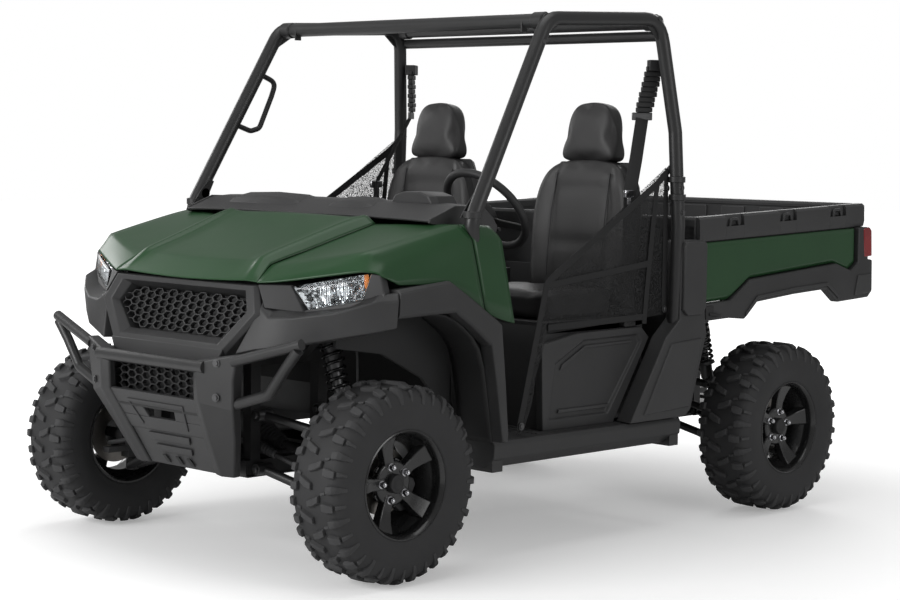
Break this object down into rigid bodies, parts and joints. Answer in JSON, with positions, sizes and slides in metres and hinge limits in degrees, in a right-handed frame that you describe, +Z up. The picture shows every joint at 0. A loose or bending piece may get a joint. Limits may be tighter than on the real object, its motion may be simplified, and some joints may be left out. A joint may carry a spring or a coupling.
{
  "type": "side by side utility vehicle",
  "caption": "Two-seat utility vehicle with a tubular cage, dark green panels, a tipping cargo bed and knobby tyres.",
  "frame": {"origin": "on the ground at the middle of the whole vehicle's box", "axes": "+Z up, the front faces -Y, the driver's (left) side is +X"},
  "size_m": [1.67, 3.09, 1.8659],
  "materials": {
    "body_green": "gloss dark green",
    "black_plastic": "textured matte",
    "frame_black": "satin powder coat",
    "cage_black": "satin powder coat",
    "bare_grey": "cast, dull",
    "engine_grey": "cast, dull",
    "exhaust_steel": "heat-dulled",
    "shock_black": "gloss",
    "seat_vinyl": "grained vinyl",
    "lamp_clear": "clear lens over chrome",
    "webbing": "woven belt",
    "net_mesh": "open mesh",
    "rim_black": "gloss black",
    "tyre_rubber": "matte rubber",
    "wheel_grip": "soft grip"
  },
  "bodies": {
    "chassis": {"frame_rails": "frame_black", "crossmembers": "frame_black", "subframes": "frame_black", "skid_plate": "frame_black", "engine": "engine_grey", "muffler": "exhaust_steel", "front_drive": "bare_grey", "rear_drive": "bare_grey", "front_arms": "frame_black", "rear_arms": "frame_black", "front_shocks": "shock_black", "rear_shocks": "shock_black", "rear_uprights": "bare_grey", "cab_floor": "black_plastic", "sills": "black_plastic", "seat_base": "black_plastic", "quarter_panels": "black_plastic", "seat_cushions": "seat_vinyl", "seat_backs": "seat_vinyl", "roll_cage": "cage_black", "dash": "black_plastic", "controls": "black_plastic", "front_fascia": "black_plastic", "grilles": "black_plastic", "headlamps": "lamp_clear", "front_bumper": "cage_black", "fenders": "body_green", "flares": "black_plastic", "seat_belts": "webbing", "side_nets": "net_mesh"},
    "hood": {"hood": "body_green"},
    "bed": {"bed_box": "black_plastic", "bed_panels": "body_green"},
    "gate": {"tailgate": "black_plastic"},
    "steering": {"steering_wheel": "wheel_grip"},
    "left_knuckle": {"knuckle_left": "bare_grey"},
    "right_knuckle": {"knuckle_right": "bare_grey"},
    "wheel_front_left": {"rim_front_left": "rim_black", "tyre_front_left": "tyre_rubber"},
    "wheel_front_right": {"rim_front_right": "rim_black", "tyre_front_right": "tyre_rubber"},
    "wheel_rear_left": {"rim_rear_left": "rim_black", "tyre_rear_left": "tyre_rubber"},
    "wheel_rear_right": {"rim_rear_right": "rim_black", "tyre_rear_right": "tyre_rubber"}
  },
  "joints": [
    {"name": "hood_hinge", "type": "hinge", "parent": "chassis", "child": "hood", "pos_m": [0, -0.889, 1.142], "axis": [-1, 0, 0], "range_deg": [0, 50]},
    {"name": "bed_tilt", "type": "hinge", "parent": "chassis", "child": "bed", "pos_m": [0, 1.26694, 0.7827], "axis": [-1, 0, 0], "range_deg": [0, 45]},
    {"name": "tailgate_hinge", "type": "hinge", "parent": "bed", "child": "gate", "pos_m": [0, 1.50703, 0.89914], "axis": [-1, 0, 0], "range_deg": [0, 90]},
    {"name": "left_steer", "type": "hinge", "parent": "chassis", "child": "left_knuckle", "pos_m": [0.61, -1.145, 0.322], "axis": [0, 0, 1], "range_deg": [-30, 30]},
    {"name": "right_steer", "type": "hinge", "parent": "chassis", "child": "right_knuckle", "pos_m": [-0.61, -1.145, 0.322], "axis": [0, 0, 1], "range_deg": [-30, 30]},
    {"name": "steering_turn", "type": "hinge", "parent": "chassis", "child": "steering", "pos_m": [0.395, -0.36, 1.16], "axis": [0, 0.788, 0.6157], "range_deg": [-450, 450]},
    {"name": "front_left_roll", "type": "hinge", "parent": "left_knuckle", "child": "wheel_front_left", "pos_m": [0.72, -1.145, 0.322], "axis": [1, 0, 0], "continuous": true},
    {"name": "front_right_roll", "type": "hinge", "parent": "right_knuckle", "child": "wheel_front_right", "pos_m": [-0.72, -1.145, 0.322], "axis": [1, 0, 0], "continuous": true},
    {"name": "rear_left_roll", "type": "hinge", "parent": "chassis", "child": "wheel_rear_left", "pos_m": [0.72, 0.885, 0.322], "axis": [1, 0, 0], "continuous": true},
    {"name": "rear_right_roll", "type": "hinge", "parent": "chassis", "child": "wheel_rear_right", "pos_m": [-0.72, 0.885, 0.322], "axis": [1, 0, 0], "continuous": true}
  ],
  "couplings": [
    {"joint": "right_steer", "follows": "left_steer", "ratio": 1},
    {"joint": "steering_turn", "follows": "left_steer", "ratio": 15}
  ]
}
